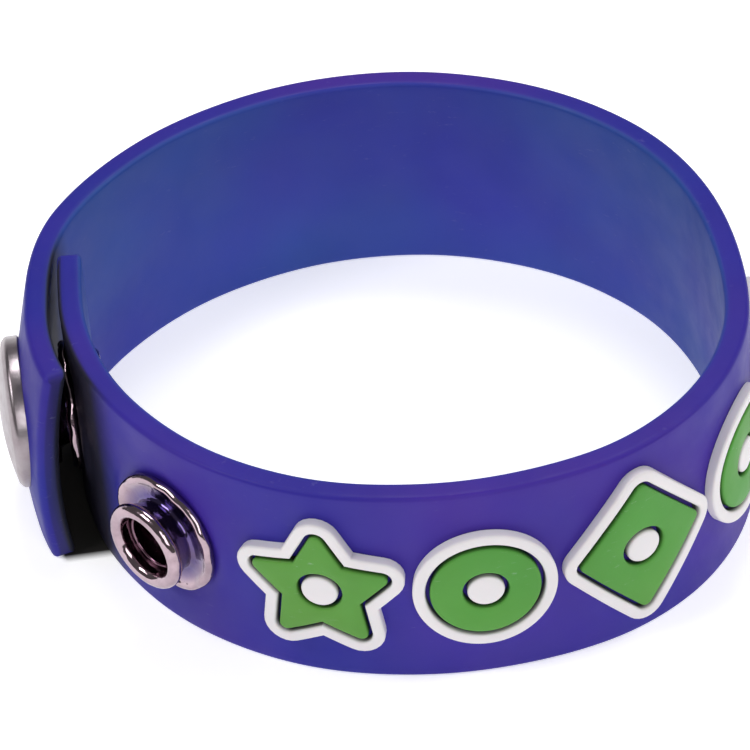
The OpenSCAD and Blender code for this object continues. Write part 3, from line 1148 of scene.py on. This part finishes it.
def painted_gap_shadow_on_floor(tree, place):
    """Mask of the painted shadow on the floor between the layers, from 0 outside to 1 within:
    near the middle plane of the gap, which bends with the strap, and behind the flap's end."""
    middle, endwards, out = gap_frame()
    # Distances from the plane and along it over which the mask fades
    depth_fade, reach_fade = (2.4 * MM, 2.9 * MM), (8.2 * MM, 9.2 * MM)
    sides = []
    for direction in (endwards, out):
        reach = made(tree, "VectorMath", "Value", {0: place, 1: (*direction, 0)},
                     operation="DOT_PRODUCT")
        sides.append(arithmetic(tree, "SUBTRACT", reach, float(middle @ direction)))
    across, depth = sides
    square = arithmetic(tree, "MULTIPLY", across, across)
    bend = arithmetic(tree, "MULTIPLY", square, 1 / (2 * GAP_RADIUS))
    depth = arithmetic(tree, "ABSOLUTE", arithmetic(tree, "ADD", depth, bend))
    across = arithmetic(tree, "ABSOLUTE", across)
    return arithmetic(tree, "MULTIPLY", mapped(tree, depth, depth_fade, (1, 0)),
                      mapped(tree, across, reach_fade, (1, 0)))


def floor_paper():
    """Pale paper with a faint fibre, lit evenly, with a painted shadow and no glow between the
    strap's layers.
    """
    material, tree, shader = new_material("floor_paper")
    place = object_place(tree)
    fibre = mapped(tree, noise(tree, place, 700), (0.4, 0.6), (0, 0.15))
    paper = mixed(tree, fibre, PAPER_PALE, PAPER_FIBRE)
    # Painted shadow on the floor between the strap's layers
    shade = painted_gap_shadow_on_floor(tree, place)
    wire(tree, shader, {
        "Base Color": mixed(tree, shade, paper, FLOOR_PAINTED_SHADOW),
        "Roughness": 0.9,
        "Emission Color": mixed(tree, shade, (1, 1, 1, 1), (0, 0, 0, 1)),
        "Emission Strength": 0.5,
    })
    return material


def stage_floor():
    """A wide pale floor, flat and then curved up in a quarter circle far behind the
    bracelet."""
    half_width, near, far, bend = 2, -1.5, 1.2, 0.6
    flat = np.linspace(near, far, 28)
    turn = np.radians(np.arange(5, 91, 5))
    depth = np.concatenate([flat, far + bend * np.sin(turn)])
    rise = np.concatenate([np.zeros_like(flat), bend * (1 - np.cos(turn))])
    across = np.linspace(-half_width, half_width, 21)
    points = np.stack(np.broadcast_arrays(across, depth[:, None], rise[:, None]), axis=-1)
    quads = quads_between(len(depth), len(across), False, False)[:, ::-1]
    mesh = new_mesh("floor", [(points.reshape(-1, 3), [quads])])
    mesh.shade_smooth()
    mesh.materials.append(floor_paper())
    floor = linked("floor", mesh)


def stage_camera():
    """The camera at the photograph's angle: it looks along +Y and down at its aim on the
    floor, rolled so that upright edges lean a little to the left."""
    studio = settings().studio
    aim = np.array([-0.50, 10.50, 0.0]) * MM
    back = np.array([0, -math.cos(studio.elevation), math.sin(studio.elevation)])
    data = bpy.data.cameras.new("camera")
    data.lens = studio.lens
    data.sensor_width = 36
    data.clip_start, data.clip_end = 0.01, 20
    camera = linked("camera", data)
    aim_along(camera, aim + studio.distance * back, -back, studio.roll)
    bpy.context.scene.camera = camera


def stage_lights():
    """Soft daylight from above and both sides, and an even pale surround."""
    studio = settings().studio
    middle = np.array([0, 0, 0.01])
    lamps = (
        # name, power, size of the square and place
        ("key", studio.key_power, 0.26, (-0.42, -0.10, 0.55)),
        ("front", studio.fill_power, 0.34, (0.12, -0.55, 0.35)),
        ("side", studio.fill_power, 0.24, (0.5, 0.0, 0.45)),
        ("top", 1.6 * studio.fill_power, 0.26, (0.05, 0.3, 0.7)),
    )
    for name, power, size, place in lamps:
        light = bpy.data.lights.new(name, "AREA")
        light.energy = power
        light.size = size
        aim_along(linked(name, light), place, middle - np.array(place))
    world = bpy.data.worlds.new("surround")
    world.use_nodes = True
    background = world.node_tree.nodes["Background"]
    background.inputs["Color"].default_value = (1.0, 1.0, 1.0, 1)
    background.inputs["Strength"].default_value = 0.12
    bpy.context.scene.world = world
    bpy.context.scene.view_settings.view_transform = "Standard"


# Operators


class BRACELET_OT_strap(bpy.types.Operator):
    """Build the moulded strap with its seats and snap holes"""

    bl_idname = "bracelet.strap"
    bl_label = "Strap"

    def execute(self, context):
        snap, places = settings().snap, snap_places()
        piece = piece_from("strap", [grid_part(strap_grid())], strap_vinyl(), STRAP_SHARP)
        tube_hole = snap.hole_radius - TUBE_PLAY + CLEARANCE
        punch(piece, places["flap"], snap.lip_radius + SOCKET_NECK + CLEARANCE)
        punch(piece, places["inner"], tube_hole)
        punch(piece, places["open"], tube_hole)
        piece.data.name = "strap"
        smooth_but_edges(piece.data, STRAP_SHARP)
        mark_inside(piece.data)
        mark_painted_gap_shade(piece.data)
        fit_piece(piece, "strap", "band")
        return {"FINISHED"}


class BRACELET_OT_motifs(bpy.types.Operator):
    """Build the green raised motifs"""

    bl_idname = "bracelet.motifs"
    bl_label = "Green motifs"

    def execute(self, context):
        green = settings().colours.motif_green
        finish = relief_vinyl("green_vinyl", green, cloud=0.08, scuffs=0.3)
        for index, shape in motif_row():
            parts = [motif_part(shape, index)]
            name, node = f"green_{shape}_{index}", f"motif_{index}"
            relief_piece(name, parts, finish, "motif_green", node)
        return {"FINISHED"}


class BRACELET_OT_outlines(bpy.types.Operator):
    """Build the white raised outlines with their dots"""

    bl_idname = "bracelet.outlines"
    bl_label = "White outlines"

    def execute(self, context):
        white = settings().colours.outline_white
        finish = relief_vinyl("white_vinyl", white, cloud=0.04, scuffs=0.1)
        for index, shape in motif_row():
            parts = [outline_part(shape, index), dot_part(index)]
            name, node = f"white_{shape}_{index}", f"outline_{index}"
            relief_piece(name, parts, finish, "outline_white", node)
        return {"FINISHED"}


class BRACELET_OT_cap(bpy.types.Operator):
    """Build the domed cap and the socket under it"""

    bl_idname = "bracelet.cap"
    bl_label = "Cap and socket"

    def execute(self, context):
        snap, colours = settings().snap, settings().colours
        half, place = settings().strap.thickness / 2, snap_places()["flap"]
        cap = lathe(cap_profile(), place, half - snap.shallow_seat + CLEARANCE, wrap=False)
        # The cap's nickel is a darker copy, as painted shade
        finish = nickel("cap_painted_shade_nickel", colours.cap_painted_shade_nickel, film=0.35, dents=0.16, haze=0.2)
        metal_piece("domed_cap", cap, finish, "snap_cap")
        socket = lathe(socket_profile(), place, snap.seat_depth - half - snap.sheet - CLEARANCE)
        # The socket between the layers takes the nickel darkened as painted shade
        finish = nickel("socket_nickel", colours.painted_shade_nickel, film=0.8, dents=0.4)
        metal_piece("socket_ring", socket, finish, "snap_socket")
        return {"FINISHED"}


class BRACELET_OT_studs(bpy.types.Operator):
    """Build the closed and the open stud, each with its eyelet"""

    bl_idname = "bracelet.studs"
    bl_label = "Studs and eyelets"

    def execute(self, context):
        snap, half, places = settings().snap, settings().strap.thickness / 2, snap_places()
        # The eyelets take the nickel darkened as painted shade for the studs' holes
        bore = settings().colours.painted_shade_nickel
        finish, eyelet_finish = stud_nickel(), nickel("eyelet_nickel", bore, film=0.6, dents=0.2)
        seat = half - snap.seat_depth + CLEARANCE
        back = snap.shallow_seat - half - CLEARANCE
        for name, place in (("closed", places["inner"]), ("open", places["open"])):
            part = lathe(stud_profile(), place, seat, stud_ripple)
            stud = metal_piece(f"{name}_ring_stud", part, finish, f"{name}_stud")
            mark_painted_neck_reflection(stud.data, place, seat)
            part = lathe(eyelet_profile(), place, back, wrap=False)
            metal_piece(f"{name}_rivet", part, eyelet_finish, f"{name}_eyelet")
        return {"FINISHED"}


class BRACELET_OT_stage(bpy.types.Operator):
    """Build the floor, the lights and the camera"""

    bl_idname = "bracelet.stage"
    bl_label = "Stage"

    def execute(self, context):
        stage_floor()
        stage_lights()
        stage_camera()
        return {"FINISHED"}


class BRACELET_PT_panel(bpy.types.Panel):
    """Lists the bracelet's operators and settings"""

    bl_idname = "BRACELET_PT_panel"
    bl_label = "Snap Bracelet"
    bl_space_type = "VIEW_3D"
    bl_region_type = "UI"
    bl_category = "Bracelet"

    def draw(self, context):
        for operator in OPERATORS:
            self.layout.operator(operator.bl_idname)
        for group_name in BraceletSettings.__annotations__:
            group = getattr(context.scene.bracelet, group_name)
            box = self.layout.box()
            box.label(text=group_name.capitalize())
            for name in group.__annotations__:
                box.prop(group, name)


OPERATORS = (BRACELET_OT_strap, BRACELET_OT_motifs, BRACELET_OT_outlines, BRACELET_OT_cap,
             BRACELET_OT_studs, BRACELET_OT_stage)
CLASSES = (StrapSizes, SnapSizes, MotifSizes, BraceletColours, StudioSettings, BraceletSettings,
           *OPERATORS, BRACELET_PT_panel)


def register():
    """Registers the classes and hangs the settings on the scene."""
    for kind in CLASSES:
        bpy.utils.register_class(kind)
    bpy.types.Scene.bracelet = PointerProperty(type=BraceletSettings)


def unregister():
    """Takes the settings and the classes away again."""
    del bpy.types.Scene.bracelet
    for kind in reversed(CLASSES):
        bpy.utils.unregister_class(kind)


def main():
    """Registers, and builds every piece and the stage."""
    register()
    bpy.ops.bracelet.strap()
    bpy.ops.bracelet.motifs()
    bpy.ops.bracelet.outlines()
    bpy.ops.bracelet.cap()
    bpy.ops.bracelet.studs()
    bpy.ops.bracelet.stage()


if __name__ == "__main__":
    main()
